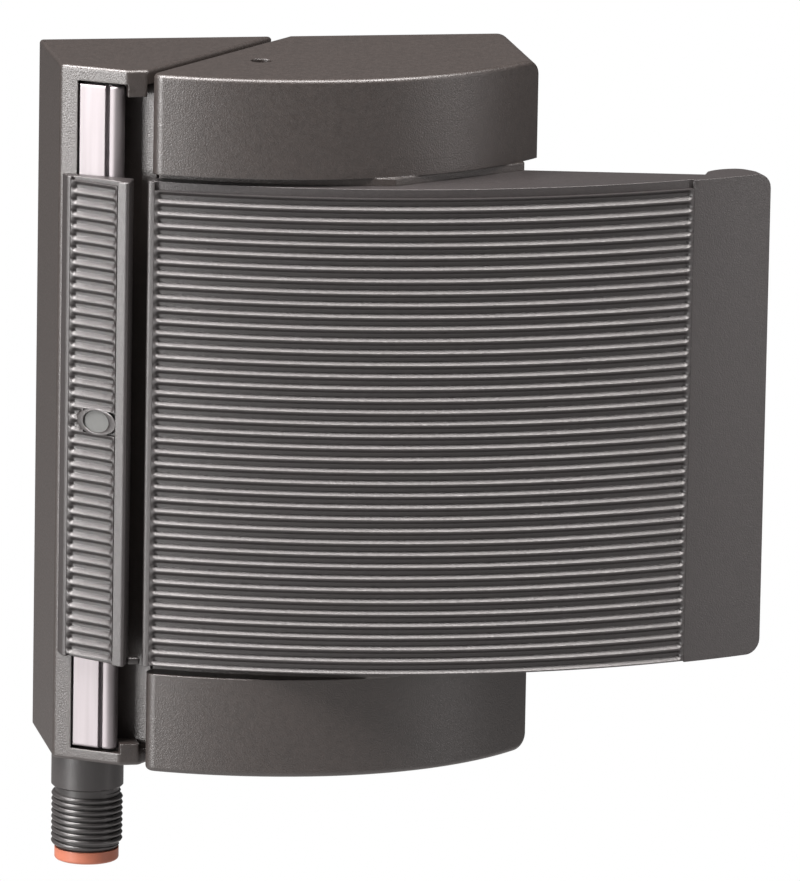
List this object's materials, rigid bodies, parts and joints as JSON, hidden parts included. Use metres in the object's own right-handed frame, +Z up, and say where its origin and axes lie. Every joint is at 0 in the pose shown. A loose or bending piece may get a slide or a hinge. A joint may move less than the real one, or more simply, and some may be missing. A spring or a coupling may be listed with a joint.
{
  "type": "magnetic safety switch with door handle",
  "caption": "Dark plastic door safety switch with holding magnet and round connector, shut against its actuator whose wide ribbed wing is the door handle.",
  "frame": {"origin": "midway between the switch unit's two fixing holes, in the plane of the units' backs", "axes": "+Z up with the connector at the bottom, -Y out of the door towards the viewer, +X from the switch to the handle"},
  "size_m": [0.1151, 0.0455, 0.1345],
  "materials": {
    "housing_plastic": "finely grained",
    "ribbed_plastic": "satin, ribbed",
    "rail_metal": "satin",
    "seal_rubber": "matte",
    "screw_steel": "zinc plated",
    "insert_brass": "turned",
    "magnet_iron": "ground",
    "magnet_black": "sintered",
    "winding_copper": "lacquered copper wire",
    "bobbin_plastic": "moulded",
    "board_green": "lacquered",
    "chip_black": "moulded",
    "capacitor_metal": "satin",
    "light_clear": "clear",
    "plug_orange": "smooth"
  },
  "bodies": {
    "switch_unit": {"switch_housing": "housing_plastic", "switch_back_plate": "housing_plastic", "switch_gasket": "seal_rubber", "switch_plate_screws": "screw_steel", "switch_mount_inserts": "insert_brass", "front_rail": "rail_metal", "rail_screws": "screw_steel", "ribbed_strip": "ribbed_plastic", "light_pipe": "light_clear", "status_led": "light_clear", "main_board": "board_green", "board_screws": "screw_steel", "board_chips": "chip_black", "board_capacitors": "capacitor_metal", "magnet_core": "magnet_iron", "coil_bobbin": "bobbin_plastic", "coil_winding": "winding_copper", "reader_coil": "winding_copper", "latch_plate": "magnet_iron", "connector_shell": "housing_plastic", "connector_o_ring": "seal_rubber", "connector_clip": "screw_steel", "connector_board": "board_green", "contact_carrier": "bobbin_plastic", "contact_pins": "insert_brass", "dust_plug": "plug_orange"},
    "handle_unit": {"actuator_body": "housing_plastic", "actuator_back_plate": "housing_plastic", "actuator_gasket": "seal_rubber", "actuator_plate_screws": "screw_steel", "actuator_mount_inserts": "insert_brass", "wing_handle": "ribbed_plastic", "wing_inserts": "insert_brass", "wing_screws": "screw_steel", "armature_plate": "magnet_iron", "armature_pins": "screw_steel", "armature_buffers": "seal_rubber", "coded_tag": "chip_black", "latch_magnet": "magnet_black"}
  },
  "joints": [
    {"name": "door_opening", "type": "slide", "parent": "switch_unit", "child": "handle_unit", "axis": [0, -1, 0], "range_m": [0, 0.06]}
  ]
}
